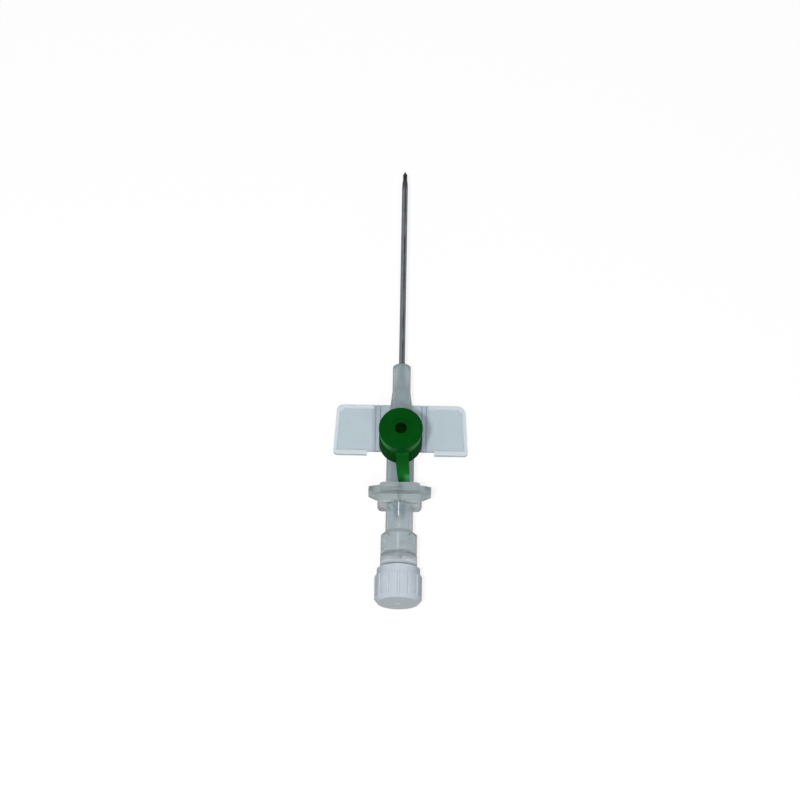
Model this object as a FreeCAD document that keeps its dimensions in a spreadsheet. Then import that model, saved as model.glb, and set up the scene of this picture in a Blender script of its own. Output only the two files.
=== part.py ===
import FreeCAD, Part
import os

import Sketcher

# Winged intravenous cannula of 1.3 mm bore size with an injection port on top.
# Lengths are millimetres. +Y runs along the needle towards its tip, +X to the right, +Z up.
# The origin lies on the wings' underside, below the axis of the injection port.
# Bodies are drawn about the common bore axis and then lifted by axis_height.

SIZES = {
    # Whole part
    "axis_height": 3.1,            # bore axis above the wings' underside
    "luer_taper": 0.03,            # radius gained for each millimetre of a 6 % luer cone
    "luer_gap": 0.03,              # play on the radius between a luer cone and its socket
    "glue_gap": 0.01,              # play on the radius of pieces that are bonded or pushed together
    "overshoot": 1.0,              # how far a cut runs past the material it removes
    # Catheter tube
    "catheter_radius": 0.65,
    "catheter_wall": 0.155,
    "catheter_tip_y": 64.2,
    "catheter_tip_radius": 0.56,
    "catheter_tip_length": 1.6,
    "flare_front_y": 17.2,         # where the tube starts to widen inside the nose
    "flare_length": 2.6,
    "flare_gain": 0.49,            # radius gained over the flare
    "catheter_nip": 0.03,          # radius lost where the nose holds the tube
    "catheter_nip_reach": 0.4,     # from the nose to where the tube is back at its full radius
    # Steel bush that wedges the flare
    "bush_reach": 1.6,             # how far the bush goes into the flare
    "bush_front_wall": 0.15,
    "bush_collar_length": 0.7,
    "bush_collar_wall": 0.2,
    # Hub moulding: barrel and nose
    "hub_rear_y": -9.7,
    "barrel_radius": 2.98,
    "barrel_front_y": 4.6,
    "nose_base_y": 13.2,
    "nose_front_y": 19.2,
    "nose_radius": 1.96,
    "nose_edge": 0.5,
    "nose_bore_gap": 0.01,
    # Hub moulding: flow channel
    "luer_mouth_radius": 2.135,
    "luer_depth": 6.1,
    "valve_seat_radius": 1.91,
    "valve_half_length": 3.6,
    "channel_radius": 1.45,
    # Hub moulding: locking lugs at the rear
    "lug_half_span": 3.9,
    "lug_half_height": 1.25,
    "lug_length": 1.0,
    "lug_edge": 0.4,
    # Hub moulding: injection port
    "port_top": 10.9,              # above the bore axis
    "port_radius": 3.1,
    "port_floor": 4.2,
    "port_hole_radius": 1.1,
    "port_edge": 0.3,
    "seat_radius": 3.38,           # where the cap's ring turns
    "bead_rise": 0.28,             # bead that keeps the ring down
    "bead_height": 0.3,
    # Hub moulding: wings
    "wing_front_y": 10.9,
    "wing_rear_y": -0.65,
    "wing_step_y": 0.25,
    "wing_step_x": 7.3,
    "wing_front_span": 13.95,      # from the axis to the front corner
    "wing_rear_span": 14.6,
    "wing_rim_height": 0.85,
    "wing_panel_height": 0.55,
    "wing_rim": 0.55,
    "wing_rear_rim": 0.95,
    "wing_corner_left": 1.4,
    "wing_corner_right": 2.0,
    "wing_corner_rear": 0.9,
    "panel_corner": 1.0,
    "panel_slope": 50.0,           # degrees the rim's inner side leans outwards
    "fold_inner_x": 4.5,
    "fold_spacing": 1.0,
    "fold_width": 0.3,
    "fold_depth": 0.3,
    "foot_half_width": 2.0,
    "foot_rear_y": -2.0,
    # Silicone valve sleeve
    "valve_wall": 0.4,
    # Port cap: ring and strap
    "cap_skew": 5.0,               # degrees the cap and strap are turned from the barrel
    "ring_bottom": 3.15,
    "ring_height": 4.6,
    "ring_radius": 4.62,
    "ring_gap": 0.05,
    "ring_edge": 0.25,
    "strap_root_width": 2.7,
    "strap_rear_width": 2.3,
    "strap_thickness": 0.8,
    "strap_rear_y": -9.6,
    "strap_top": 8.9,
    "strap_bottom": 3.5,
    "strap_bend": 1.7,
    "strap_fold_y": -7.8,          # living hinge between the strap's two halves
    "strap_fold_gap": 0.03,
    # Port cap: cap
    "cap_top": 12.3,
    "cap_top_radius": 4.69,
    "cap_skirt_radius": 4.4,
    "cap_skirt_wall": 0.62,
    "cap_bottom_gap": 0.35,        # between ring and skirt
    "cap_roof": 0.8,
    "cap_edge": 0.5,
    "cap_dish_radius": 2.05,
    "cap_dish_depth": 0.2,
    "cap_hole_radius": 1.25,
    "cap_pin_radius": 1.6,
    "cap_pin_reach": 1.6,          # depth of the pin inside the port
    "cap_pin_floor": 0.4,
    "cap_pin_edge": 0.4,
    # Needle
    "needle_radius": 0.475,
    "needle_bore_radius": 0.34,
    "needle_tip_y": 67.0,
    "needle_rear_y": -14.7,
    "bevel_length": 2.5,
    "lancet_length": 1.1,
    # Needle hub: luer nose and grip plate
    "needle_nose_length": 5.9,
    "plate_gap": 0.2,              # between the cannula's hub and the grip plate
    "plate_thickness": 1.6,
    "tab_half_width": 4.25,
    "tab_top": 5.95,
    "tab_corner": 0.7,
    "tab_brow": 0.5,
    "ear_root_top": 4.1,
    "ear_half_span": 6.7,
    "ear_tip_top": 3.0,
    "ear_tip_bottom": -0.9,
    "ear_root_bottom": -1.8,
    "ear_tip_thickness": 1.05,
    "grip_half_width": 4.75,
    "grip_half_height": 3.05,
    "grip_rear_y": -13.42,
    "grip_corner": 0.8,
    "grip_rear_corner": 0.7,
    # Needle hub: flashback chamber
    "chamber_radius": 2.93,
    "chamber_wall": 0.6,
    "chamber_front_y": -12.7,
    "shoulder_y": -19.2,
    "shoulder_length": 0.9,
    "wide_radius": 3.87,
    "wide_rear_y": -24.75,
    "wide_bore_radius": 3.2,
    "boss_radius": 1.3,
    "boss_rear_y": -16.05,
    "boss_well_radius": 0.85,
    # Vent plug in the chamber's rear
    "vent_reach": 0.8,
    "vent_flange_gap": 0.12,
    "vent_flange_radius": 3.95,
    "vent_flange_length": 2.1,
    "vent_flange_edge": 0.3,
    "vent_neck_radius": 3.0,
    "vent_neck_length": 6.0,
    "vent_channel_radius": 0.8,
    "vent_lug_half_span": 3.7,
    "filter_radius": 2.9,
    "filter_thickness": 0.35,
    # White locking plug
    "plug_gap": 0.6,
    "plug_collar_radius": 4.6,
    "plug_collar_length": 1.7,
    "plug_radius": 5.05,
    "plug_length": 7.35,
    "plug_bore_radius": 3.95,
    "plug_end_wall": 1.1,
    "plug_end_edge": 0.65,
    "plug_end_bevel": 0.85,        # how far the end's bevel runs along the plug
    "plug_cone_clear": 0.4,        # bottom of the neck's socket to the cone's tip
    "plug_groove_count": 14,
    "plug_groove_radius": 0.3,
    "plug_groove_depth": 0.2,
    "plug_gate_radius": 0.6,
    "plug_gate_depth": 0.15,
}


class Length:
    """A number together with the formula that the document stores for it."""

    def __init__(self, number, formula):
        self.number = number
        self.formula = formula

    def __add__(self, other):
        other = as_length(other)
        return Length(self.number + other.number, f"({self.formula} + {other.formula})")

    def __sub__(self, other):
        other = as_length(other)
        return Length(self.number - other.number, f"({self.formula} - {other.formula})")

    def __mul__(self, other):
        other = as_length(other)
        return Length(self.number * other.number, f"({self.formula} * {other.formula})")

    def __truediv__(self, other):
        other = as_length(other)
        return Length(self.number / other.number, f"({self.formula} / {other.formula})")

    def __neg__(self):
        return Length(-self.number, f"(-1 * {self.formula})")


def as_length(value):
    """Let plain numbers take part in formulas."""
    if isinstance(value, Length):
        return value
    return Length(float(value), repr(value))


class SizeNames:
    """Gives each size of the sheet as an attribute that carries its formula."""

    def __getattr__(self, alias):
        return Length(SIZES[alias], f"size.{alias}")


d = SizeNames()
doc = FreeCAD.newDocument("iv_cannula")
sheet = doc.addObject("Spreadsheet::Sheet", "size")
for row, (alias, number) in enumerate(SIZES.items(), start=1):
    sheet.set(f"A{row}", alias)
    sheet.set(f"B{row}", str(number))
    sheet.setAlias(f"B{row}", alias)
doc.recompute()


# Helpers for bodies and sketches

STEP_NEAR = 0.134    # places of a quarter round's points at 30 and 60 degrees, as shares of its radius
STEP_FAR = 0.5


def new_body(label, skewed=False):
    """Start a sub-part on the bore axis, turned with the cap where it belongs to the cap."""
    body = doc.addObject("PartDesign::Body", label)
    body.Label = label
    if skewed:
        turn = FreeCAD.Rotation(FreeCAD.Vector(0, 0, 1), SIZES["cap_skew"])
        body.Placement = FreeCAD.Placement(FreeCAD.Vector(0, 0, 0), turn)
        body.setExpression("Placement.Rotation.Angle", d.cap_skew.formula)
    body.setExpression("Placement.Base.z", d.axis_height.formula)
    return body


def origin_feature(body, role):
    """The body's own origin plane or axis with this role."""
    return next(item for item in body.Origin.OriginFeatures if item.Role == role)


def new_sketch(body, name, role, offset=None):
    """A sketch on one of the body's origin planes, moved along the plane's normal."""
    sketch = body.newObject("Sketcher::SketchObject", name)
    sketch.AttachmentSupport = (origin_feature(body, role), [""])
    sketch.MapMode = "FlatFace"
    if offset is not None:
        sketch.setExpression("AttachmentOffset.Base.z", offset.formula)
    return sketch


def constrain(sketch, kind, geometry, value, corner=None):
    """Fix one dimension of the sketch to a formula."""
    value = as_length(value)
    if corner is None:
        index = sketch.addConstraint(Sketcher.Constraint(kind, geometry, value.number))
    else:
        index = sketch.addConstraint(Sketcher.Constraint(kind, geometry, corner, value.number))
    sketch.setExpression(f"Constraints[{index}]", value.formula)


def add_outline(sketch, points):
    """A closed outline of straight lines, each corner fixed by its two coordinates."""
    corners = [(as_length(across), as_length(along)) for across, along in points]
    first = sketch.GeometryCount
    count = len(corners)
    for i, (across, along) in enumerate(corners):
        next_across, next_along = corners[(i + 1) % count]
        start = FreeCAD.Vector(across.number, along.number, 0)
        end = FreeCAD.Vector(next_across.number, next_along.number, 0)
        sketch.addGeometry(Part.LineSegment(start, end), False)
    for i in range(count):
        following = first + (i + 1) % count
        sketch.addConstraint(Sketcher.Constraint("Coincident", first + i, 2, following, 1))
    for i, (across, along) in enumerate(corners):
        constrain(sketch, "DistanceX", first + i, across, corner=1)
        constrain(sketch, "DistanceY", first + i, along, corner=1)


def add_circle(sketch, across, along, radius):
    """A circle fixed by its centre and radius."""
    across, along, radius = as_length(across), as_length(along), as_length(radius)
    centre = FreeCAD.Vector(across.number, along.number, 0)
    circle = Part.Circle(centre, FreeCAD.Vector(0, 0, 1), radius.number)
    geometry = sketch.addGeometry(circle, False)
    constrain(sketch, "Radius", geometry, radius)
    constrain(sketch, "DistanceX", geometry, across, corner=3)
    constrain(sketch, "DistanceY", geometry, along, corner=3)


def mirrored(points):
    """The outline's other half: the same corners with the first coordinate negated."""
    return [(-as_length(across), along) for across, along in reversed(points)]


def bevelled(radius, end, edge, inward):
    """The two profile corners of a bevel at the outer edge of a turned end."""
    return [(radius, end - edge * inward), (radius - edge, end)]


def rounded(radius, end, edge, inward):
    """Profile corners that follow a quarter round in three steps at the outer edge of a turned end."""
    near, far = edge * STEP_NEAR, edge * STEP_FAR
    return [
        (radius, end - edge * inward),
        (radius - near, end - far * inward),
        (radius - far, end - near * inward),
        (radius - edge, end),
    ]


def turn_profile(body, name, points, role="XY_Plane", cut=False):
    """Turn an outline about its sketch's vertical axis, as added or removed material."""
    sketch = new_sketch(body, name + "_profile", role)
    add_outline(sketch, points)
    kind = "PartDesign::Groove" if cut else "PartDesign::Revolution"
    feature = body.newObject(kind, name)
    feature.Profile = sketch
    feature.ReferenceAxis = (sketch, ["V_Axis"])
    feature.Angle = 360
    return finish(feature, cut)


def extrude(body, name, sketch, length, cut=False, symmetric=False, reverse=False):
    """Pad or pocket a sketch over a length: a pad follows the normal, a pocket goes against it."""
    feature = body.newObject("PartDesign::Pocket" if cut else "PartDesign::Pad", name)
    feature.Profile = sketch
    feature.Reversed = reverse
    if symmetric:
        feature.SideType = "Symmetric"
    feature.setExpression("Length", as_length(length).formula)
    return finish(feature, cut)


def finish(feature, cut, base=None):
    """Recompute, and make sure that a cut removed something and an addition added something."""
    base = base or feature.BaseFeature
    before = base.Shape.Volume if base else 0
    doc.recompute()
    gained = feature.Shape.Volume - before
    if (cut and gained >= 0) or (not cut and gained <= 0):
        raise RuntimeError(f"{feature.Label} changed the volume by {gained:.4f}")
    return feature


def round_edges(body, name, radius, wanted):
    """Round the edges of the body's tip that the test wants."""
    base = body.Tip
    names = [f"Edge{i}" for i, edge in enumerate(base.Shape.Edges, start=1) if wanted(edge)]
    if not names:
        raise RuntimeError(f"{name} found no edge")
    feature = body.newObject("PartDesign::Fillet", name)
    feature.Base = (base, names)
    feature.setExpression("Radius", radius.formula)
    doc.recompute()
    if feature.Shape.isNull() or not feature.Shape.isValid():
        raise RuntimeError(f"{name} failed")


NEAR = 0.005    # how close an edge has to lie to the place that is asked for


def line_at(direction, *places):
    """Test for a straight edge along x, y or z that passes through one of the places."""
    numbers = [tuple(as_length(value).number for value in place) for place in places]
    others = [axis for axis in "xyz" if axis != direction]

    def wanted(edge):
        if edge.Curve.TypeId != "Part::GeomLine":
            return False
        if abs(abs(getattr(edge.tangentAt(edge.FirstParameter), direction)) - 1) > NEAR:
            return False
        middle = edge.CenterOfMass
        across, along = (getattr(middle, axis) for axis in others)
        return any(abs(across - a) < NEAR and abs(along - b) < NEAR for a, b in numbers)

    return wanted


# Values that several pieces share

catheter_bore = d.catheter_radius - d.catheter_wall
flare_rear_y = d.flare_front_y - d.flare_length
flare_radius = d.catheter_radius + d.flare_gain
bush_rear_y = flare_rear_y - d.bush_collar_length
nip_front_y = d.nose_front_y + d.catheter_nip_reach
plate_front_y = d.hub_rear_y - d.plate_gap
plate_rear_y = plate_front_y - d.plate_thickness
ring_top = d.ring_bottom + d.ring_height
ring_bore = d.seat_radius + d.ring_gap
cap_bottom = ring_top + d.cap_bottom_gap
vent_front_y = d.wide_rear_y + d.vent_reach
flange_front_y = d.wide_rear_y - d.vent_flange_gap
flange_rear_y = flange_front_y - d.vent_flange_length
neck_rear_y = flange_rear_y - d.vent_neck_length
plug_front_y = flange_rear_y - d.plug_gap
plug_rear_y = plug_front_y - d.plug_length
luer_root_radius = d.luer_mouth_radius - d.luer_taper * d.luer_depth


# Catheter

def make_catheter_tube():
    """Thin tube with a drawn tip, nipped in the nose and widened over the steel bush."""
    body = new_body("catheter_tube")
    turn_profile(body, "tube", [
        (flare_radius - d.catheter_wall, flare_rear_y),
        (flare_radius, flare_rear_y),
        (d.catheter_radius - d.catheter_nip, d.flare_front_y),
        (d.catheter_radius, nip_front_y),
        (d.catheter_radius, d.catheter_tip_y - d.catheter_tip_length),
        (d.catheter_tip_radius, d.catheter_tip_y),
        (catheter_bore, d.catheter_tip_y),
        (catheter_bore, d.flare_front_y),
    ])
    return body


def make_catheter_bush():
    """Steel funnel that wedges the flared tube into the nose and guides the needle."""
    body = new_body("catheter_bush")
    slope = d.flare_gain / d.flare_length
    cone_rear = flare_radius - d.catheter_wall - d.glue_gap
    cone_front = cone_rear - slope * d.bush_reach
    collar = flare_radius - d.glue_gap
    turn_profile(body, "funnel", [
        (collar - d.bush_collar_wall, bush_rear_y),
        (collar, bush_rear_y),
        (collar, flare_rear_y - d.glue_gap),
        (cone_rear, flare_rear_y - d.glue_gap),
        (cone_front, flare_rear_y + d.bush_reach),
        (cone_front - d.bush_front_wall, flare_rear_y + d.bush_reach),
    ])
    return body


# Hub moulding of the cannula

def add_barrel(body):
    """Outside of the barrel, its slope and the nose."""
    turn_profile(body, "barrel", [
        (0, d.hub_rear_y),
        (d.barrel_radius, d.hub_rear_y),
        (d.barrel_radius, d.barrel_front_y),
        (d.nose_radius, d.nose_base_y),
        *rounded(d.nose_radius, d.nose_front_y, d.nose_edge, 1),
        (0, d.nose_front_y),
    ])


def wing_slant(y):
    """Half-span of the wings at a distance along the axis: they widen towards the rear."""
    share = (d.wing_front_y - y) / (d.wing_front_y - d.wing_rear_y)
    return d.wing_front_span + (d.wing_rear_span - d.wing_front_span) * share


def add_wings(body):
    """Flat wings with a raised rim, thin panels and two fold grooves beside the barrel."""
    sketch = new_sketch(body, "wing_outline", "XY_Plane", -d.axis_height)
    right_half = [
        (d.wing_front_span, d.wing_front_y),
        (d.wing_rear_span, d.wing_rear_y),
        (d.wing_step_x, d.wing_rear_y),
        (d.wing_step_x, d.wing_step_y),
        (d.foot_half_width, d.wing_step_y),
        (d.foot_half_width, d.foot_rear_y),
    ]
    add_outline(sketch, right_half + mirrored(right_half))
    extrude(body, "wings", sketch, d.wing_rim_height)
    round_edges(body, "corner_left", d.wing_corner_left,
                line_at("z", (-d.wing_front_span, d.wing_front_y)))
    round_edges(body, "corner_right", d.wing_corner_right,
                line_at("z", (d.wing_front_span, d.wing_front_y)))
    round_edges(body, "corners_rear", d.wing_corner_rear,
                line_at("z", (-d.wing_rear_span, d.wing_rear_y), (d.wing_rear_span, d.wing_rear_y)))

    fold_outer_x = d.fold_inner_x + d.fold_spacing
    panel_inner_x = fold_outer_x + d.fold_width
    panel_front_y = d.wing_front_y - d.wing_rim
    panel_rear_y = d.wing_rear_y + d.wing_rear_rim
    panel = [
        (panel_inner_x, panel_front_y),
        (wing_slant(panel_front_y) - d.wing_rim - d.panel_corner, panel_front_y),
        (wing_slant(panel_front_y) - d.wing_rim, panel_front_y - d.panel_corner),
        (wing_slant(panel_rear_y) - d.wing_rim, panel_rear_y),
        (panel_inner_x, panel_rear_y),
    ]
    rim_top = d.wing_rim_height - d.axis_height
    panels = new_sketch(body, "panel_outlines", "XY_Plane", rim_top)
    add_outline(panels, panel)
    add_outline(panels, mirrored(panel))
    recess = extrude(body, "panels", panels, d.wing_rim_height - d.wing_panel_height, cut=True)
    recess.setExpression("TaperAngle", (-d.panel_slope).formula)
    finish(recess, cut=True)

    folds = new_sketch(body, "fold_lines", "XY_Plane", rim_top)
    for fold_x in (d.fold_inner_x, fold_outer_x):
        groove = [
            (fold_x - d.fold_width / 2, d.wing_front_y + d.overshoot),
            (fold_x + d.fold_width / 2, d.wing_front_y + d.overshoot),
            (fold_x + d.fold_width / 2, d.wing_rear_y - d.overshoot),
            (fold_x - d.fold_width / 2, d.wing_rear_y - d.overshoot),
        ]
        add_outline(folds, groove)
        add_outline(folds, mirrored(groove))
    extrude(body, "folds", folds, d.fold_depth, cut=True)


def add_port(body):
    """Upright injection port with the seat and the bead for the cap's ring."""
    bead_z = ring_top + d.ring_gap
    bead_radius = d.seat_radius + d.bead_rise
    turn_profile(body, "port", [
        (0, 0),
        (d.seat_radius, 0),
        (d.seat_radius, bead_z),
        (bead_radius, bead_z + d.bead_rise / 2),
        (bead_radius, bead_z + d.bead_height),
        (d.port_radius, bead_z + d.bead_height + d.bead_rise),
        *bevelled(d.port_radius, d.port_top, d.port_edge, 1),
        (0, d.port_top),
    ], role="XZ_Plane")


def add_lugs(body):
    """Two locking lugs beside the luer mouth."""
    sketch = new_sketch(body, "lug_outline", "XZ_Plane", -d.hub_rear_y - d.lug_length)
    lug = [
        (d.lug_half_span, -d.lug_half_height),
        (d.lug_half_span, d.lug_half_height),
    ]
    add_outline(sketch, lug + mirrored(lug))
    extrude(body, "lugs", sketch, d.lug_length)
    corners = [(across, along) for across in (-d.lug_half_span, d.lug_half_span)
               for along in (-d.lug_half_height, d.lug_half_height)]
    round_edges(body, "lug_round", d.lug_edge, line_at("y", *corners))


def cut_channels(body):
    """Luer socket, valve seat, flow channel, bush seat and tube bore, and the port's socket."""
    nose_bore = d.catheter_radius + d.nose_bore_gap
    funnel_radius = flare_radius + d.nose_bore_gap
    socket_floor_y = d.hub_rear_y + d.luer_depth
    turn_profile(body, "channel", [
        (0, d.hub_rear_y),
        (d.luer_mouth_radius, d.hub_rear_y),
        (luer_root_radius, socket_floor_y),
        (d.valve_seat_radius, socket_floor_y),
        (d.valve_seat_radius, d.valve_half_length),
        (d.channel_radius, d.valve_half_length),
        (d.channel_radius, bush_rear_y - d.glue_gap),
        (funnel_radius, bush_rear_y - d.glue_gap),
        (funnel_radius, flare_rear_y),
        (nose_bore - d.catheter_nip, d.flare_front_y),
        (nose_bore, nip_front_y),
        (0, nip_front_y),
    ], cut=True)
    port_depth = d.port_top - d.port_floor
    turn_profile(body, "port_socket", [
        (0, 0),
        (d.port_hole_radius, 0),
        (d.port_hole_radius, d.port_floor),
        (d.luer_mouth_radius - d.luer_taper * port_depth, d.port_floor),
        (d.luer_mouth_radius, d.port_top),
        (0, d.port_top),
    ], role="XZ_Plane", cut=True)


def make_cannula_hub():
    """One clear moulding: nose, barrel, wings, injection port and lugs."""
    body = new_body("cannula_hub")
    add_barrel(body)
    add_wings(body)
    add_port(body)
    add_lugs(body)
    cut_channels(body)
    return body


def make_injection_valve():
    """Silicone sleeve that closes the hole below the port from inside."""
    body = new_body("injection_valve")
    outer = d.valve_seat_radius - d.glue_gap
    end_y = d.valve_half_length - d.glue_gap
    turn_profile(body, "sleeve", [
        (outer - d.valve_wall, -end_y),
        (outer, -end_y),
        (outer, end_y),
        (outer - d.valve_wall, end_y),
    ])
    return body


# Port cap: the ring with the strap's lower half, and the cap with its upper half

def narrow_strap(body):
    """Cut both sides of the strap, which narrows from the cap towards its bend."""
    sketch = new_sketch(body, "strap_plan", "XY_Plane")
    root_y = -d.cap_top_radius
    side = [
        (d.strap_root_width / 2, root_y),
        (d.strap_rear_width / 2, d.strap_rear_y),
        (d.strap_rear_width / 2, d.strap_rear_y - d.overshoot),
        (d.strap_root_width / 2 + d.overshoot, root_y),
    ]
    add_outline(sketch, side)
    add_outline(sketch, mirrored(side))
    extrude(body, "strap_sides", sketch, d.cap_top * 2, cut=True, symmetric=True)


def make_port_cap_ring():
    """Ring that turns on the port, with the strap's lower leg and bend."""
    body = new_body("port_cap_ring", skewed=True)
    turn_profile(body, "ring", [
        (ring_bore, d.ring_bottom),
        (d.ring_radius, d.ring_bottom),
        *bevelled(d.ring_radius, ring_top, d.ring_edge, 1),
        (ring_bore, ring_top),
    ], role="XZ_Plane")

    strap = new_sketch(body, "strap_path", "YZ_Plane")
    root_y = -(ring_bore + d.ring_radius) / 2
    inner_rear_y = d.strap_rear_y + d.strap_thickness
    fold_y = d.strap_fold_y - d.strap_fold_gap
    add_outline(strap, [
        (root_y, d.strap_bottom),
        (d.strap_rear_y, d.strap_bottom),
        (d.strap_rear_y, d.strap_top),
        (fold_y, d.strap_top),
        (fold_y, d.strap_top - d.strap_thickness),
        (inner_rear_y, d.strap_top - d.strap_thickness),
        (inner_rear_y, d.strap_bottom + d.strap_thickness),
        (root_y, d.strap_bottom + d.strap_thickness),
    ])
    extrude(body, "strap", strap, d.strap_root_width, symmetric=True)
    round_edges(body, "strap_outer_bend", d.strap_bend,
                line_at("x", (d.strap_rear_y, d.strap_bottom), (d.strap_rear_y, d.strap_top)))
    round_edges(body, "strap_inner_bend", d.strap_bend - d.strap_thickness,
                line_at("x", (inner_rear_y, d.strap_bottom + d.strap_thickness),
                        (inner_rear_y, d.strap_top - d.strap_thickness)))
    narrow_strap(body)
    return body


def make_port_cap():
    """Cap with a flared skirt, a hollow pin that enters the port, and the strap's upper leg."""
    body = new_body("port_cap", skewed=True)
    roof = d.cap_top - d.cap_roof
    skirt_bore = d.cap_skirt_radius - d.cap_skirt_wall
    pin_bottom = d.port_top - d.cap_pin_reach
    turn_profile(body, "cap", [
        (0, pin_bottom),
        *reversed(bevelled(d.cap_pin_radius, pin_bottom, d.cap_pin_edge, -1)),
        (d.cap_pin_radius, roof),
        (skirt_bore, roof),
        (skirt_bore, cap_bottom),
        (d.cap_skirt_radius, cap_bottom),
        *rounded(d.cap_top_radius, d.cap_top, d.cap_edge, 1),
        (0, d.cap_top),
    ], role="XZ_Plane")

    leg = new_sketch(body, "leg_outline", "YZ_Plane")
    root_y = -d.cap_skirt_radius + d.cap_skirt_wall / 2
    add_outline(leg, [
        (root_y, d.strap_top - d.strap_thickness),
        (d.strap_fold_y, d.strap_top - d.strap_thickness),
        (d.strap_fold_y, d.strap_top),
        (root_y, d.strap_top),
    ])
    extrude(body, "strap_leg", leg, d.strap_root_width, symmetric=True)
    narrow_strap(body)

    turn_profile(body, "centre_hole", [
        (0, pin_bottom + d.cap_pin_floor),
        (d.cap_hole_radius, pin_bottom + d.cap_pin_floor),
        (d.cap_hole_radius, d.cap_top - d.cap_dish_depth),
        (d.cap_dish_radius, d.cap_top - d.cap_dish_depth),
        (d.cap_dish_radius, d.cap_top),
        (0, d.cap_top),
    ], role="XZ_Plane", cut=True)
    return body


# Needle set

def make_needle():
    """Steel tube with a back-cut bevel that faces up and two lancet facets."""
    body = new_body("needle")
    turn_profile(body, "tube", [
        (d.needle_bore_radius, d.needle_rear_y),
        (d.needle_radius, d.needle_rear_y),
        (d.needle_radius, d.needle_tip_y),
        (d.needle_bore_radius, d.needle_tip_y),
    ])
    bevel = new_sketch(body, "bevel_side", "YZ_Plane")
    add_outline(bevel, [
        (d.needle_tip_y, -d.needle_radius),
        (d.needle_tip_y + d.overshoot, -d.needle_radius),
        (d.needle_tip_y + d.overshoot, d.needle_radius),
        (d.needle_tip_y - d.bevel_length, d.needle_radius),
    ])
    cut_width = (d.needle_radius + d.overshoot) * 2
    extrude(body, "bevel", bevel, cut_width, cut=True, symmetric=True)
    lancet = new_sketch(body, "lancet_plan", "XY_Plane")
    facet = [
        (0, d.needle_tip_y),
        (d.needle_radius, d.needle_tip_y - d.lancet_length),
        (d.needle_radius + d.overshoot, d.needle_tip_y - d.lancet_length),
        (d.needle_radius + d.overshoot, d.needle_tip_y + d.overshoot),
        (0, d.needle_tip_y + d.overshoot),
    ]
    add_outline(lancet, facet[:4] + mirrored(facet[1:4]))
    extrude(body, "lancet", lancet, cut_width, cut=True, symmetric=True)
    return body


def add_grip(body):
    """Plate with a raised push tab and two ears, and the block behind it."""
    plate = new_sketch(body, "plate_outline", "XZ_Plane", -plate_front_y)
    right_half = [
        (d.tab_half_width - d.tab_corner, d.tab_top),
        (d.tab_half_width, d.tab_top - d.tab_corner),
        (d.tab_half_width, d.ear_root_top),
        (d.ear_half_span, d.ear_tip_top),
        (d.ear_half_span, d.ear_tip_bottom),
        (d.grip_half_width, d.ear_root_bottom),
        (d.grip_half_width, -d.grip_half_height),
    ]
    add_outline(plate, right_half + mirrored(right_half))
    extrude(body, "plate", plate, d.plate_thickness)
    thinning = new_sketch(body, "ear_plan", "XY_Plane")
    wedge = [
        (d.grip_half_width, plate_rear_y),
        (d.ear_half_span + d.overshoot, plate_rear_y),
        (d.ear_half_span + d.overshoot, plate_front_y - d.ear_tip_thickness),
        (d.ear_half_span, plate_front_y - d.ear_tip_thickness),
    ]
    add_outline(thinning, wedge)
    add_outline(thinning, mirrored(wedge))
    extrude(body, "ear_taper", thinning, d.tab_top * 2, cut=True, symmetric=True)
    brow = new_sketch(body, "brow_side", "YZ_Plane")
    add_outline(brow, [
        (plate_rear_y + d.tab_brow, d.tab_top),
        (plate_rear_y, d.tab_top - d.tab_brow),
        (plate_rear_y - d.overshoot, d.tab_top),
    ])
    extrude(body, "brow", brow, d.ear_half_span * 2, cut=True, symmetric=True)

    block = new_sketch(body, "block_outline", "XZ_Plane", -plate_rear_y)
    half = [
        (d.grip_half_width - d.grip_corner, d.grip_half_height),
        (d.grip_half_width, d.grip_half_height - d.grip_corner),
        (d.grip_half_width, d.grip_corner - d.grip_half_height),
        (d.grip_half_width - d.grip_corner, -d.grip_half_height),
    ]
    add_outline(block, half + mirrored(half))
    extrude(body, "block", block, plate_rear_y - d.grip_rear_y)
    round_edges(body, "block_rear_round", d.grip_rear_corner,
                line_at("z", (-d.grip_half_width, d.grip_rear_y), (d.grip_half_width, d.grip_rear_y)))


def make_needle_hub():
    """One clear moulding: luer nose, grip plate and block, and the flashback chamber."""
    body = new_body("needle_hub")
    nose_root = d.luer_mouth_radius - d.luer_gap + d.luer_taper * d.plate_gap
    nose_tip_y = plate_front_y + d.needle_nose_length
    turn_profile(body, "outside", [
        (0, nose_tip_y),
        (nose_root - d.luer_taper * d.needle_nose_length, nose_tip_y),
        (nose_root, plate_front_y),
        (d.chamber_radius, plate_front_y),
        (d.chamber_radius, d.shoulder_y),
        (d.wide_radius, d.shoulder_y - d.shoulder_length),
        (d.wide_radius, d.wide_rear_y),
        (0, d.wide_rear_y),
    ])
    add_grip(body)
    chamber_bore = d.chamber_radius - d.chamber_wall
    turn_profile(body, "chamber", [
        (d.boss_radius, d.chamber_front_y),
        (chamber_bore, d.chamber_front_y),
        (chamber_bore, d.shoulder_y),
        (d.wide_bore_radius, d.shoulder_y - d.shoulder_length),
        (d.wide_bore_radius, d.wide_rear_y),
        (0, d.wide_rear_y),
        (0, d.boss_rear_y),
        (d.boss_radius, d.boss_rear_y),
    ], cut=True)
    needle_bore = d.needle_radius + d.glue_gap
    turn_profile(body, "needle_bore", [
        (0, nose_tip_y),
        (needle_bore, nose_tip_y),
        (needle_bore, d.needle_rear_y),
        (d.boss_well_radius, d.needle_rear_y),
        (d.boss_well_radius, d.boss_rear_y),
        (0, d.boss_rear_y),
    ], cut=True)
    return body


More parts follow.
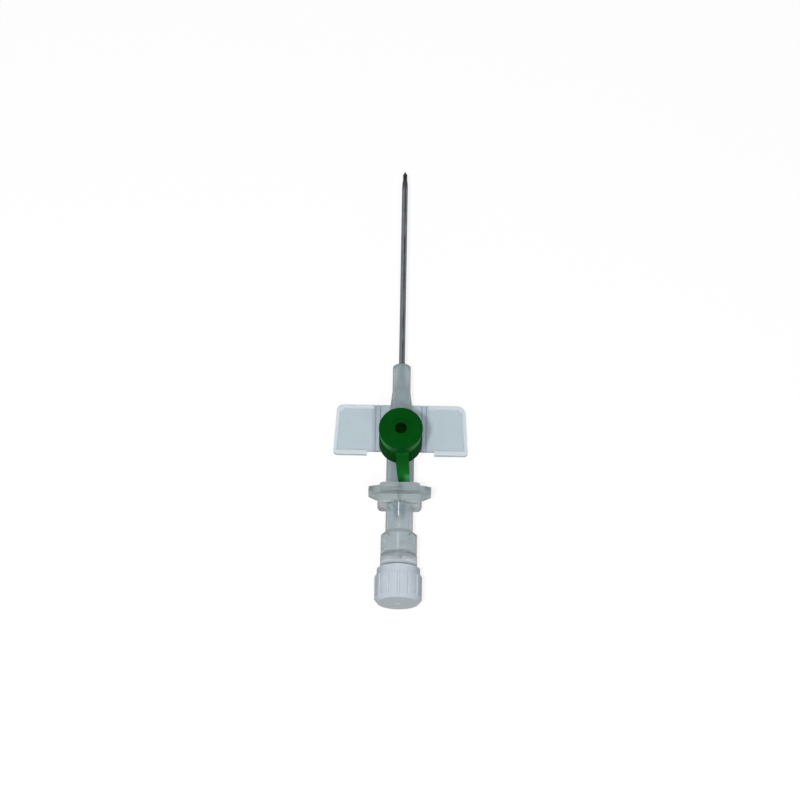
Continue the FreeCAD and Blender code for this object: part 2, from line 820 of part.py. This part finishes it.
def make_vent_plug():
    """Clear plug pushed into the chamber: flange, luer neck with lugs, and vent channel."""
    body = new_body("vent_plug")
    plug_radius = d.wide_bore_radius - d.glue_gap
    turn_profile(body, "outside", [
        (0, vent_front_y),
        (plug_radius, vent_front_y),
        (plug_radius, flange_front_y),
        (d.vent_flange_radius, flange_front_y),
        *bevelled(d.vent_flange_radius, flange_rear_y, d.vent_flange_edge, -1),
        (d.vent_neck_radius, flange_rear_y),
        (d.vent_neck_radius, neck_rear_y),
        (0, neck_rear_y),
    ])
    lugs = new_sketch(body, "lug_outline", "XZ_Plane", -neck_rear_y - d.lug_length)
    lug = [
        (d.vent_lug_half_span, -d.lug_half_height),
        (d.vent_lug_half_span, d.lug_half_height),
    ]
    add_outline(lugs, lug + mirrored(lug))
    extrude(body, "lugs", lugs, d.lug_length)
    socket_floor_y = neck_rear_y + d.luer_depth
    filter_seat_y = vent_front_y - d.filter_thickness
    turn_profile(body, "vent_channel", [
        (0, neck_rear_y),
        (d.luer_mouth_radius, neck_rear_y),
        (d.luer_mouth_radius - d.luer_taper * (socket_floor_y - neck_rear_y), socket_floor_y),
        (d.vent_channel_radius, socket_floor_y),
        (d.vent_channel_radius, filter_seat_y),
        (d.filter_radius + d.glue_gap, filter_seat_y),
        (d.filter_radius + d.glue_gap, vent_front_y),
        (0, vent_front_y),
    ], cut=True)
    return body


def make_vent_filter():
    """White filter disc let into the vent plug's front face: air passes and blood stays."""
    body = new_body("vent_filter")
    sketch = new_sketch(body, "disc_outline", "XZ_Plane", -vent_front_y)
    add_circle(sketch, 0, 0, d.filter_radius)
    extrude(body, "disc", sketch, d.filter_thickness - d.glue_gap)
    return body


def make_luer_plug():
    """White plug with a ribbed grip, a hollow for the neck and lugs, and a luer cone inside."""
    body = new_body("luer_plug")
    collar_rear_y = plug_front_y - d.plug_collar_length
    cavity_floor_y = plug_rear_y + d.plug_end_wall
    cone_radius = d.luer_mouth_radius - d.luer_gap
    cone_tip_y = neck_rear_y + d.luer_depth - d.plug_cone_clear
    cone_root_radius = cone_radius + d.luer_taper * (neck_rear_y - cavity_floor_y)
    turn_profile(body, "shell", [
        (0, cone_tip_y),
        (cone_radius - d.luer_taper * (cone_tip_y - neck_rear_y), cone_tip_y),
        (cone_root_radius, cavity_floor_y),
        (d.plug_bore_radius, cavity_floor_y),
        (d.plug_bore_radius, plug_front_y),
        (d.plug_collar_radius, plug_front_y),
        (d.plug_collar_radius, collar_rear_y),
        (d.plug_radius, collar_rear_y),
        (d.plug_radius, plug_rear_y + d.plug_end_bevel),
        (d.plug_radius - d.plug_end_edge, plug_rear_y),
        (0, plug_rear_y),
    ])

    groove = new_sketch(body, "groove_outline", "XZ_Plane", -collar_rear_y)
    groove_z = d.plug_radius + d.plug_groove_radius - d.plug_groove_depth
    add_circle(groove, 0, groove_z, d.plug_groove_radius)
    first = extrude(body, "groove", groove, d.plug_length, cut=True, reverse=True)
    grooves = body.newObject("PartDesign::PolarPattern", "grooves")
    grooves.Originals = [first]
    grooves.Axis = (origin_feature(body, "Y_Axis"), [""])
    grooves.Angle = 360
    grooves.setExpression("Occurrences", d.plug_groove_count.formula)
    body.Tip = grooves
    finish(grooves, cut=True, base=first)

    gate = new_sketch(body, "gate_outline", "XZ_Plane", -plug_rear_y)
    add_circle(gate, 0, 0, d.plug_gate_radius)
    extrude(body, "gate", gate, d.plug_gate_depth, cut=True)
    return body


# Build every piece, check it and write it

MAKERS = [
    make_catheter_tube,
    make_catheter_bush,
    make_cannula_hub,
    make_injection_valve,
    make_port_cap_ring,
    make_port_cap,
    make_needle,
    make_needle_hub,
    make_vent_plug,
    make_vent_filter,
    make_luer_plug,
]

bodies = [make() for make in MAKERS]
doc.recompute()
for item in doc.Objects:
    if "Invalid" in item.State or "Error" in item.State:
        raise RuntimeError(f"{item.Label} failed: {item.State}")
os.makedirs("parts", exist_ok=True)
for body in bodies:
    if body.Shape.isNull() or not body.Shape.isValid():
        raise RuntimeError(f"{body.Label} has no valid shape")
    body.Shape.exportStep(f"parts/{body.Label}.step")
    print(body.Label, len(body.Shape.Solids), round(body.Shape.Volume, 3))
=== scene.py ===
import math

import bpy
from mathutils import Matrix, Vector


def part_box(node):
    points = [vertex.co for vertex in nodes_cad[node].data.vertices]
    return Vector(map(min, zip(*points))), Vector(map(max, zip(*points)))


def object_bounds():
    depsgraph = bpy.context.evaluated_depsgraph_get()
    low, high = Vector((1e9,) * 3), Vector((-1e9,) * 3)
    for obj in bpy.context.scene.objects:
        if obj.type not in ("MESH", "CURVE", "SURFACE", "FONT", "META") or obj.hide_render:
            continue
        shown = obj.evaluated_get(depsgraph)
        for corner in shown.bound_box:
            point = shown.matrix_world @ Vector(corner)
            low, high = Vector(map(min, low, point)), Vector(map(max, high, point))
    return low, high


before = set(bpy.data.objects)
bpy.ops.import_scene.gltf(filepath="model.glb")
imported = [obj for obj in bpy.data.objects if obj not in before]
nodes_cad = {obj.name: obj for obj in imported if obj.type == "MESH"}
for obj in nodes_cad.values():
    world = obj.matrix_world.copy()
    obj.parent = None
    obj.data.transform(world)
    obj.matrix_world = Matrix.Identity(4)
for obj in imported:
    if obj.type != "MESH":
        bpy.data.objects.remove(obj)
cad_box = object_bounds()
scene = bpy.context.scene

# Places and radii in the materials are millimetres in the part's own frame.
MM = 0.001
BORE_HEIGHT = 3.1
CAP_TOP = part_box("port_cap")[1].z / MM
PLASTIC_IOR = 1.49
TUBE_IOR = 1.46
NOISE_LOW = 0.3
NOISE_HIGH = 0.7
BUMP_STRENGTH = 0.5
WHITE = (1.0, 1.0, 1.0)


# Node-tree helpers

CHOICES = ("operation", "data_type")


class Tree:
    """Short way to add and join the nodes of one material or of the world."""

    def __init__(self, tree):
        self.nodes = tree.nodes
        self.links = tree.links
        self.nodes.clear()

    def join(self, value, socket):
        """Link another node's output to a socket, or set the socket to a plain value."""
        if isinstance(value, bpy.types.NodeSocket):
            self.links.new(value, socket)
        elif isinstance(value, tuple) and len(value) == 3 and len(socket.default_value) == 4:
            socket.default_value = (*value, 1.0)
        else:
            socket.default_value = value

    def add(self, kind, output=0, **inputs):
        """Add a node, set its choices, join its inputs by name or number, and give one output."""
        node = self.nodes.new(kind)
        for name in CHOICES:
            if name in inputs:
                setattr(node, name, inputs.pop(name))
        for name, value in inputs.items():
            number = name[1:]
            key = int(number) if name[0] == "i" and number.isdigit() else name.replace("_", " ")
            self.join(value, node.inputs[key])
        return node.outputs[output]

    def math(self, operation, a, b=0.0):
        return self.add("ShaderNodeMath", operation=operation, i0=a, i1=b)

    def both(self, a, b):
        """Where two masks overlap."""
        return self.math("MULTIPLY", a, b)

    def either(self, a, b):
        """Where at least one of two masks is."""
        return self.math("MAXIMUM", a, b)

    def reach(self, a, b):
        """Distance from the line on which both a and b are 0."""
        squares = self.math("ADD", self.math("POWER", a, 2.0), self.math("POWER", b, 2.0))
        return self.math("SQRT", squares)

    def noise(self, vector, scale, detail, roughness):
        return self.add("ShaderNodeTexNoise", Vector=vector, Scale=scale, Detail=detail, Roughness=roughness)

    def bump(self, height, depth):
        """Shallow bump with a depth in millimetres."""
        return self.add("ShaderNodeBump", Strength=BUMP_STRENGTH, Distance=depth * MM, Height=height)

    def span(self, value, low, high, new_low=0.0, new_high=1.0):
        """Map a value from one range to another and hold it there."""
        return self.add("ShaderNodeMapRange", Value=value, From_Min=low, From_Max=high,
                        To_Min=new_low, To_Max=new_high)

    def above(self, value, edge, blur):
        """1 above an edge and 0 below it, with a soft change on both sides of it."""
        return self.span(value, edge - blur, edge + blur)

    def below(self, value, edge, blur):
        """1 below an edge and 0 above it, with a soft change on both sides of it."""
        return self.span(value, edge + blur, edge - blur)

    def stretch(self, noise, low=0.0, high=1.0):
        """Spread the middle of a noise over a range."""
        return self.span(noise, NOISE_LOW, NOISE_HIGH, low, high)

    def within(self, share, low, high):
        """The value that lies a share of the way from low to high."""
        return self.span(share, 0.0, 1.0, low, high)

    def mix(self, factor, a, b):
        """Mix two colours, at the mix node's colour sockets."""
        return self.add("ShaderNodeMix", 2, data_type="RGBA", i0=factor, i6=a, i7=b)

    def blend(self, factor, a, b):
        """Mix two plain numbers."""
        return self.add("ShaderNodeMix", 0, data_type="FLOAT", i0=factor, i2=a, i3=b)

    def part(self, vector, letter):
        """One coordinate of a vector."""
        split = self.nodes.new("ShaderNodeSeparateXYZ")
        self.links.new(vector, split.inputs[0])
        return split.outputs[letter]

    def parts(self, vector):
        """The three coordinates of a vector."""
        return tuple(self.part(vector, letter) for letter in "XYZ")


def start_material(name):
    """An empty node material and the object-space position in millimetres."""
    material = bpy.data.materials.new(name)
    material.use_nodes = True
    tree = Tree(material.node_tree)
    place = tree.nodes.new("ShaderNodeTexCoord").outputs["Object"]
    return material, tree, tree.add("ShaderNodeVectorMath", operation="SCALE", i0=place, i3=1 / MM)


def close_material(tree, shader):
    """Join the shader to the material's output."""
    output = tree.nodes.new("ShaderNodeOutputMaterial")
    tree.links.new(shader, output.inputs["Surface"])


def surface(tree, place, grain, broad_scale, fine_scale, roughness=(0.0, 1.0)):
    """Uneven gloss and a shallow bump from broad flow marks and fine grain; also gives the flow marks."""
    broad_share = 0.65
    fine_share = 0.35
    broad = tree.noise(place, broad_scale, detail=4.0, roughness=0.55)
    fine = tree.noise(place, fine_scale, detail=3.0, roughness=0.6)
    height = tree.math("ADD", tree.math("MULTIPLY", broad, broad_share),
                       tree.math("MULTIPLY", fine, fine_share))
    return tree.stretch(broad), tree.stretch(fine, *roughness), tree.bump(height, grain)


def from_bore(tree, x, z):
    """Distance from the bore's axis, which runs through needle, hub and chamber."""
    return tree.reach(x, tree.math("SUBTRACT", z, BORE_HEIGHT))


# Materials

def plastic(name, colour, deep, roughness, grain, specular):
    """Opaque moulded plastic: uneven colour, uneven gloss, fine grain and shallow flow marks."""
    material, tree, place = start_material(name)
    shade, gloss, normal = surface(tree, place, grain, broad_scale=0.35, fine_scale=9.0, roughness=roughness)
    close_material(tree, tree.add("ShaderNodeBsdfPrincipled", Base_Color=tree.mix(shade, deep, colour),
                                  Roughness=gloss, Normal=normal, IOR=PLASTIC_IOR,
                                  Specular_IOR_Level=specular))
    return material


def green_plastic(name, body, wall, roughness, specular):
    """Green cap plastic: painted shade makes it dark in its hole and low down, a painted reflection makes the
    cap's wall brighter, and painted highlights brighten the strap.
    """
    wall_inner_radius = 4.2
    wall_top = CAP_TOP - 0.55
    wall_foot = CAP_TOP - 3.7
    hole_radius = 1.325
    hole_rim = CAP_TOP - 0.35
    root_half_width = 2.4
    root_y = -3.0
    strap_y = -5.025
    strap_middle_y = -7.85
    strap_end_y = -9.15
    lit_side_x = 1.05
    # Painted light among these greens: the foot and hole greens are painted shade, and the strap's rear and
    # lit greens are painted highlights.
    foot_shade_green = (0.0012, 0.062, 0.0070)
    root_green = (0.0030, 0.110, 0.0130)
    strap_green = (0.0022, 0.088, 0.0080)
    strap_rear_highlight_green = (0.0070, 0.130, 0.0190)
    strap_lit_green = (0.0500, 0.310, 0.0950)
    hole_shade_green = (0.0006, 0.016, 0.0010)
    strap_roughness = (0.28, 0.38)
    wall_roughness = (0.42, 0.52)

    material, tree, place = start_material(name)
    shade, gloss, normal = surface(tree, place, grain=0.006, broad_scale=0.35, fine_scale=5.0)
    x, y, z = tree.parts(place)
    radius = tree.reach(x, y)
    skirt = tree.both(tree.above(radius, wall_inner_radius, blur=0.1), tree.below(z, wall_top, blur=0.15))
    foot = tree.below(z, wall_foot, blur=0.4)
    root = tree.both(tree.below(tree.math("ABSOLUTE", x), root_half_width, blur=0.6),
                     tree.below(y, root_y, blur=0.5))
    hole = tree.both(tree.below(radius, hole_radius, blur=0.125), tree.below(z, hole_rim, blur=0.15))
    strap = tree.below(y, strap_y, blur=0.275)
    strap_rear = tree.below(y, strap_middle_y, blur=1.55)
    strap_lit = tree.both(tree.above(x, lit_side_x, blur=0.45), tree.below(y, strap_end_y, blur=0.25))

    # On the cap the wall colour is a painted reflection: bright at the sides, less bright in the middle
    # behind the strap root, and painted shade at the foot.
    side = tree.mix(foot, tree.mix(root, wall, root_green), foot_shade_green)
    # Painted highlights on the strap: lighter towards its rear, and lighter still on a patch at its right
    # side near the end.
    band = tree.mix(strap_rear, strap_green, strap_rear_highlight_green)
    band = tree.mix(strap_lit, band, strap_lit_green)
    tint = tree.mix(skirt, tree.mix(shade, *body), side)
    tint = tree.mix(strap, tint, band)
    # Painted shade inside the hole.
    tint = tree.mix(hole, tint, hole_shade_green)
    rough = tree.blend(strap, tree.within(gloss, *roughness), tree.within(gloss, *strap_roughness))
    rough = tree.blend(tree.either(hole, skirt), rough, tree.within(gloss, *wall_roughness))
    close_material(tree, tree.add("ShaderNodeBsdfPrincipled", Base_Color=tint, Roughness=rough, Normal=normal,
                                  IOR=PLASTIC_IOR, Specular_IOR_Level=specular))
    return material


def hub_plastic():
    """Clear wings with a painted highlight on the pale rim and painted shade in the darker folds, and a
    greyer barrel, nose and port, which are thick.
    """
    barrel_radius = 3.225
    port_z = 2.5
    rim_z = 0.70
    rim_x = 5.95
    fold_z = 0.76
    fold_x = 5.85
    panel_deep = (0.62, 0.715, 0.775)
    panel_light = (0.65, 0.745, 0.805)
    rim_highlight_deep = (0.84, 0.895, 0.94)
    rim_highlight_light = (0.88, 0.935, 0.98)
    fold_shade_tint = (0.42, 0.50, 0.58)
    barrel_deep = (0.48, 0.570, 0.600)
    barrel_light = (0.54, 0.630, 0.660)
    wing_through = 0.50
    barrel_through = 0.55

    material, tree, place = start_material("hub_plastic")
    shade, gloss, normal = surface(tree, place, grain=0.004, broad_scale=0.3, fine_scale=2.5,
                                   roughness=(0.10, 0.18))
    x, y, z = tree.parts(place)
    aside = tree.math("ABSOLUTE", x)
    thick = tree.either(tree.below(from_bore(tree, x, z), barrel_radius, blur=0.175),
                        tree.above(z, port_z, blur=0.5))
    rim = tree.both(tree.above(z, rim_z, blur=0.10), tree.above(aside, rim_x, blur=0.15))
    fold = tree.both(tree.below(z, fold_z, blur=0.06), tree.below(aside, fold_x, blur=0.15))
    # Painted highlight: the wings' rim is lighter.
    wing = tree.mix(rim, tree.mix(shade, panel_deep, panel_light), tree.mix(shade, rim_highlight_deep, rim_highlight_light))
    # Painted shade darkens the folds.
    wing = tree.mix(fold, wing, fold_shade_tint)
    barrel = tree.mix(shade, barrel_deep, barrel_light)
    close_material(tree, tree.add("ShaderNodeBsdfPrincipled", Base_Color=tree.mix(thick, wing, barrel),
                                  Roughness=gloss, Normal=normal, IOR=PLASTIC_IOR,
                                  Transmission_Weight=tree.blend(thick, wing_through, barrel_through)))
    return material


def grip_plastic():
    """Clear chamber, frosted grip plate with its block, and a clear luer nose.

    The chamber's inner faces are clearest. A strip above the needle's rear end is clear too, between two
    strips of painted shade, so the needle's painted highlight shows as a bright line. The boss that holds the
    needle and the seam that is bonded to the vent plug are partly see-through, so that light gets through the
    stacked faces.
    """
    shoulder_front = -19.2
    shoulder_rear = -20.1
    narrow_bore = 2.6
    wide_bore = 3.5
    plate_rear = -13.5
    seam_front = -23.35
    nose_rear = -9.85
    boss_radius = 1.45
    plate_top = 4.1
    tab_rear = -13.1
    strip_front = -12.1
    strip_rear = -16.2
    strip_half_width = 1.4
    line_half_width = 0.35
    chamber_deep = (0.49, 0.56, 0.585)
    chamber_light = (0.55, 0.62, 0.645)
    frosted_deep = (0.53, 0.60, 0.615)
    frosted_light = (0.59, 0.66, 0.675)
    tab_tint = (0.40, 0.475, 0.480)
    inner_tint = (0.88, 0.92, 0.93)
    boss_tint = (0.30, 0.37, 0.41)
    strip_shade_tint = (0.42, 0.49, 0.53)
    line_tint = (0.97, 0.98, 0.99)
    nose_tint = (0.70, 0.77, 0.79)
    chamber_roughness = (0.17, 0.25)
    frosted_roughness = (0.15, 0.24)
    inner_roughness = 0.05
    line_roughness = 0.06
    nose_roughness = 0.12
    chamber_through = 0.80
    frosted_through = 0.70
    inner_through = 0.95
    line_through = 0.97
    nose_through = 0.86
    boss_alpha = 0.27
    seam_alpha = 0.18

    material, tree, place = start_material("grip_plastic")
    shade, gloss, normal = surface(tree, place, grain=0.006, broad_scale=0.3, fine_scale=2.5)
    x, y, z = tree.parts(place)
    aside = tree.math("ABSOLUTE", x)
    radius = from_bore(tree, x, z)
    wall = tree.math("SUBTRACT", radius, tree.span(y, shoulder_front, shoulder_rear, narrow_bore, wide_bore))
    inside = tree.below(wall, 0.0, blur=0.1)
    outside = tree.below(inside, 0.5, blur=0.5)
    grip = tree.above(y, plate_rear, blur=0.2)
    nose = tree.above(y, nose_rear, blur=0.15)
    seam = tree.both(inside, tree.below(y, seam_front, blur=0.15))
    boss = tree.both(tree.below(radius, boss_radius, blur=0.05), tree.below(y, nose_rear, blur=0.15))
    top = tree.above(z, plate_top, blur=0.1)
    tab = tree.both(top, tree.above(y, tab_rear, blur=0.1))
    over = tree.both(top, tree.above(y, strip_rear, blur=0.2))
    over = tree.both(over, tree.below(y, strip_front, blur=0.2))
    over = tree.both(over, outside)
    strip = tree.both(over, tree.below(aside, strip_half_width, blur=0.2))
    line = tree.both(over, tree.below(aside, line_half_width, blur=0.1))

    chamber = tree.mix(shade, chamber_deep, chamber_light)
    frosted = tree.mix(tab, tree.mix(shade, frosted_deep, frosted_light), tab_tint)
    tint = tree.mix(inside, tree.mix(grip, chamber, frosted), tree.mix(boss, inner_tint, boss_tint))
    # Painted shade darkens the strips beside the needle's line.
    tint = tree.mix(strip, tint, strip_shade_tint)
    tint = tree.mix(line, tint, line_tint)
    tint = tree.mix(nose, tint, nose_tint)
    rough = tree.blend(grip, tree.within(gloss, *chamber_roughness), tree.within(gloss, *frosted_roughness))
    rough = tree.blend(inside, rough, inner_roughness)
    rough = tree.blend(line, rough, line_roughness)
    rough = tree.blend(nose, rough, nose_roughness)
    through = tree.blend(inside, tree.blend(grip, chamber_through, frosted_through), inner_through)
    through = tree.blend(line, through, line_through)
    through = tree.blend(nose, through, nose_through)
    solid = tree.blend(seam, tree.blend(boss, 1.0, boss_alpha), seam_alpha)
    close_material(tree, tree.add("ShaderNodeBsdfPrincipled", Base_Color=tint, Roughness=rough, Normal=normal,
                                  IOR=PLASTIC_IOR, Transmission_Weight=through, Alpha=solid))
    return material


def vent_plastic():
    """Clear vent plug: its bonded front hardly shows, and its flange has a frosted rear face."""
    rear_face = -26.5
    bonded_rear = -24.95
    deep = (0.66, 0.73, 0.775)
    light = (0.72, 0.785, 0.825)
    rear_tint = (0.62, 0.68, 0.73)
    flange_through = 0.75
    rear_through = 0.25
    bonded_alpha = 0.25

    material, tree, place = start_material("vent_plastic")
    shade, gloss, normal = surface(tree, place, grain=0.006, broad_scale=0.3, fine_scale=6.0,
                                   roughness=(0.16, 0.28))
    y = tree.part(place, "Y")
    rear = tree.below(y, rear_face, blur=0.1)
    bonded = tree.above(y, bonded_rear, blur=0.05)
    tint = tree.mix(rear, tree.mix(shade, deep, light), rear_tint)
    close_material(tree, tree.add("ShaderNodeBsdfPrincipled", Base_Color=tint, Roughness=gloss, Normal=normal,
                                  IOR=PLASTIC_IOR,
                                  Transmission_Weight=tree.blend(rear, flange_through, rear_through),
                                  Alpha=tree.blend(bonded, 1.0, bonded_alpha)))
    return material


def plug_plastic():
    """White plug: milky on top, with painted shade that makes it bluer towards its sides and greyer on its
    end.
    """
    side_facing = 0.8
    end_facing = -0.65
    deep = (0.54, 0.605, 0.665)
    light = (0.60, 0.66, 0.72)
    side_shade_tint = (0.42, 0.485, 0.55)
    end_shade_tint = (0.51, 0.57, 0.61)

    material, tree, place = start_material("plug_plastic")
    shade, gloss, normal = surface(tree, place, grain=0.010, broad_scale=0.35, fine_scale=9.0,
                                   roughness=(0.20, 0.32))
    facing = tree.nodes.new("ShaderNodeTexCoord").outputs["Normal"]
    side = tree.above(tree.math("ABSOLUTE", tree.part(facing, "X")), side_facing, blur=0.2)
    end = tree.below(tree.part(facing, "Y"), end_facing, blur=0.25)
    # Painted shade by the way each face turns: bluer on the sides, greyer on the end.
    tint = tree.mix(side, tree.mix(shade, deep, light), side_shade_tint)
    tint = tree.mix(end, tint, end_shade_tint)
    close_material(tree, tree.add("ShaderNodeBsdfPrincipled", Base_Color=tint, Roughness=gloss, Normal=normal,
                                  IOR=PLASTIC_IOR, Specular_IOR_Level=0.5))
    return material


def ground_steel():
    """Drawn and ground steel: fine scratches along the tube, a dark ground point and a painted highlight that
    makes its rear end bright.
    """
    point_y = 63.15
    rear_y = -8.0
    deep = (0.34, 0.35, 0.36)
    light = (0.42, 0.43, 0.44)
    point_tint = (0.14, 0.15, 0.16)
    rear_tint = (0.88, 0.90, 0.92)
    roughness = (0.14, 0.28)
    along = (14.0, 0.5, 14.0)

    material, tree, place = start_material("ground_steel")
    drawn = tree.add("ShaderNodeMapping", Vector=place, Scale=along)
    scratches = tree.noise(drawn, scale=1.5, detail=4.0, roughness=0.6)
    cloud = tree.noise(place, scale=0.4, detail=3.0, roughness=0.5)
    y = tree.part(place, "Y")
    tint = tree.mix(tree.stretch(cloud), deep, light)
    tint = tree.mix(tree.above(y, point_y, blur=0.65), tint, point_tint)
    # Painted highlight: the needle's rear end is made bright so that it shows through the clear grip.
    tint = tree.mix(tree.below(y, rear_y, blur=1.0), tint, rear_tint)
    close_material(tree, tree.add("ShaderNodeBsdfPrincipled", Base_Color=tint, Metallic=1.0,
                                  Roughness=tree.stretch(scratches, *roughness),
                                  Normal=tree.bump(scratches, depth=0.004)))
    return material


def striped_tube():
    """Translucent tube over the needle: patchy radiopaque stripes along it, and a darker drawn tip."""
    stripe_count = 4.0
    stripe_turn = 0.9
    stripe_edge = 0.65
    faint_stripe = 0.45
    patch_low = 0.38
    patch_high = 0.56
    tip_y = 62.4
    fine_share = 0.3
    deep = (0.26, 0.275, 0.295)
    light = (0.35, 0.37, 0.395)
    stripe_tint = (0.055, 0.058, 0.065)
    tip_tint = (0.10, 0.105, 0.115)
    roughness = (0.22, 0.38)
    along = (0.0, 0.16, 0.0)

    material, tree, place = start_material("catheter_tube")
    x, y, z = tree.parts(place)
    angle = tree.math("ARCTAN2", tree.math("SUBTRACT", z, BORE_HEIGHT), x)
    wave = tree.math("COSINE", tree.math("ADD", tree.math("MULTIPLY", angle, stripe_count), stripe_turn))
    drawn = tree.add("ShaderNodeMapping", Vector=place, Scale=along)
    patches = tree.noise(drawn, scale=1.0, detail=2.0, roughness=0.5)
    strength = tree.span(patches, patch_low, patch_high, faint_stripe, 1.0)
    stripe = tree.both(tree.above(wave, stripe_edge, blur=0.15), strength)
    cloud = tree.noise(place, scale=0.5, detail=4.0, roughness=0.6)
    fine = tree.noise(place, scale=12.0, detail=3.0, roughness=0.6)
    tint = tree.mix(stripe, tree.mix(tree.stretch(cloud), deep, light), stripe_tint)
    tint = tree.mix(tree.above(y, tip_y, blur=0.8), tint, tip_tint)
    height = tree.math("ADD", cloud, tree.math("MULTIPLY", fine, fine_share))
    close_material(tree, tree.add("ShaderNodeBsdfPrincipled", Base_Color=tint,
                                  Roughness=tree.stretch(fine, *roughness),
                                  Normal=tree.bump(height, depth=0.006),
                                  IOR=TUBE_IOR, Transmission_Weight=0.45))
    return material


green_cap = green_plastic("green_cap", body=((0.0012, 0.058, 0.0050), (0.0018, 0.076, 0.0066)),
                          wall=(0.0060, 0.270, 0.0340), roughness=(0.11, 0.19), specular=0.04)
# A painted-shade copy of the cap's green for the ring, which sits in the cap's shadow: a darker body, and its
# wall in the same painted shade as the cap's foot.
green_ring_painted_shade = green_plastic("green_ring_painted_shade", body=((0.0010, 0.050, 0.0055), (0.0016, 0.068, 0.0075)),
                           wall=(0.0012, 0.062, 0.0070), roughness=(0.45, 0.55), specular=0.005)
silicone = plastic("silicone", colour=(0.66, 0.66, 0.63), deep=(0.58, 0.58, 0.55),
                   roughness=(0.5, 0.7), grain=0.01, specular=0.3)
felt = plastic("filter_felt", colour=(0.93, 0.93, 0.92), deep=(0.84, 0.84, 0.83),
               roughness=(0.8, 0.95), grain=0.06, specular=0.2)
steel = ground_steel()

FINISH = {
    "catheter_tube": striped_tube(),
    "catheter_bush": steel,
    "cannula_hub": hub_plastic(),
    "injection_valve": silicone,
    "port_cap_ring": green_ring_painted_shade,
    "port_cap": green_cap,
    "needle": steel,
    "needle_hub": grip_plastic(),
    "vent_plug": vent_plastic(),
    "vent_filter": felt,
    "luer_plug": plug_plastic(),
}
for name, material in FINISH.items():
    mesh = nodes_cad[name].data
    mesh.materials.clear()
    mesh.materials.append(material)


# Floor, surroundings and lamps

def make_floor():
    """Large pale floor just below the part: nearly white where the camera sees it, and grey in gloss."""
    half = 3.0
    gap = 0.02 * MM
    fibre_scale = 900.0
    paper_deep = (0.58, 0.58, 0.58)
    paper_light = (0.62, 0.62, 0.62)
    seen_share = 0.72
    mirrored_share = 0.9
    seen_glow = 1.18
    mirrored_glow = 0.5

    floor_z = cad_box[0].z - gap
    mesh = bpy.data.meshes.new("floor")
    corners = [(-half, -half, floor_z), (half, -half, floor_z), (half, half, floor_z), (-half, half, floor_z)]
    mesh.from_pydata(corners, [], [(0, 1, 2, 3)])
    floor = bpy.data.objects.new("floor", mesh)
    scene.collection.objects.link(floor)

    material = bpy.data.materials.new("floor_paper")
    material.use_nodes = True
    tree = Tree(material.node_tree)
    place = tree.nodes.new("ShaderNodeTexCoord").outputs["Object"]
    fibres = tree.noise(place, fibre_scale, detail=3.0, roughness=0.6)
    diffuse = tree.add("ShaderNodeBsdfDiffuse", Color=tree.mix(fibres, paper_deep, paper_light))
    path = tree.nodes.new("ShaderNodeLightPath")
    through = path.outputs["Is Transmission Ray"]
    mirrored = tree.both(path.outputs["Is Glossy Ray"], tree.math("SUBTRACT", 1.0, through))
    seen = tree.either(path.outputs["Is Camera Ray"], through)
    share = tree.either(tree.math("MULTIPLY", seen, seen_share),
                        tree.math("MULTIPLY", mirrored, mirrored_share))
    glow = tree.add("ShaderNodeEmission", Color=WHITE,
                    Strength=tree.blend(mirrored, seen_glow, mirrored_glow))
    close_material(tree, tree.add("ShaderNodeMixShader", i0=share, i1=diffuse, i2=glow))
    mesh.materials.append(material)


def make_world():
    """Soft surroundings: lighter low down, dark overhead, white where the camera looks past the floor."""
    horizon = 0.0
    overhead = 0.9
    horizon_level = 0.34
    overhead_level = 0.18

    world = bpy.data.worlds.new("studio")
    scene.world = world
    world.use_nodes = True
    tree = Tree(world.node_tree)
    direction = tree.nodes.new("ShaderNodeTexCoord").outputs["Generated"]
    level = tree.span(tree.part(direction, "Z"), horizon, overhead, horizon_level, overhead_level)
    path = tree.nodes.new("ShaderNodeLightPath")
    seen = tree.either(path.outputs["Is Camera Ray"], path.outputs["Is Transmission Ray"])
    background = tree.add("ShaderNodeBackground", Color=WHITE, Strength=tree.either(level, seen))
    output = tree.nodes.new("ShaderNodeOutputWorld")
    tree.links.new(background, output.inputs["Surface"])


LAMP_DISTANCE = 0.7
LAMP_AIM = Vector((0, 11 * MM, 4 * MM))


def add_lamp(name, direction, size, power):
    """Round lamp that looks at the part from a direction."""
    data = bpy.data.lights.new(name, "AREA")
    data.shape = "DISK"
    data.size = size
    data.energy = power
    lamp = bpy.data.objects.new(name, data)
    scene.collection.objects.link(lamp)
    away = Vector(direction).normalized()
    lamp.location = LAMP_AIM + away * LAMP_DISTANCE
    lamp.rotation_mode = "QUATERNION"
    lamp.rotation_quaternion = away.to_track_quat("Z", "Y")


make_floor()
make_world()
add_lamp("key", direction=(-0.12, -0.36, 0.925), size=0.045, power=2.8)
add_lamp("spark", direction=(0.12, -0.50, 0.86), size=0.03, power=0.8)
add_lamp("rear", direction=(-0.13, 0.28, 0.94), size=0.05, power=0.14)


# Camera at the photograph's angle; its distance and its sensor are in millimetres

ELEVATION = math.radians(68.0)
ROLL = math.radians(1.0)
DISTANCE = 560.0
PIXELS_PER_MM = 4.6
PICTURE_PIXELS = 800.0
SENSOR = 36.0
AIM = Vector((-0.29 * MM, 11.24 * MM, BORE_HEIGHT * MM))

forward = Vector((0, math.cos(ELEVATION), -math.sin(ELEVATION)))
right = Vector((1, 0, 0))
up = Vector((0, math.sin(ELEVATION), math.cos(ELEVATION)))
camera_x = right * math.cos(ROLL) + up * math.sin(ROLL)
camera_y = up * math.cos(ROLL) - right * math.sin(ROLL)
lens = bpy.data.cameras.new("camera")
lens.sensor_width = SENSOR
lens.lens = PIXELS_PER_MM * DISTANCE / PICTURE_PIXELS * SENSOR
lens.clip_start = 0.01
lens.clip_end = 10.0
camera = bpy.data.objects.new("camera", lens)
scene.collection.objects.link(camera)
turn = Matrix((camera_x, camera_y, -forward)).transposed()
camera.matrix_world = Matrix.Translation(AIM - forward * DISTANCE * MM) @ turn.to_4x4()
scene.camera = camera

scene.view_settings.view_transform = "Standard"
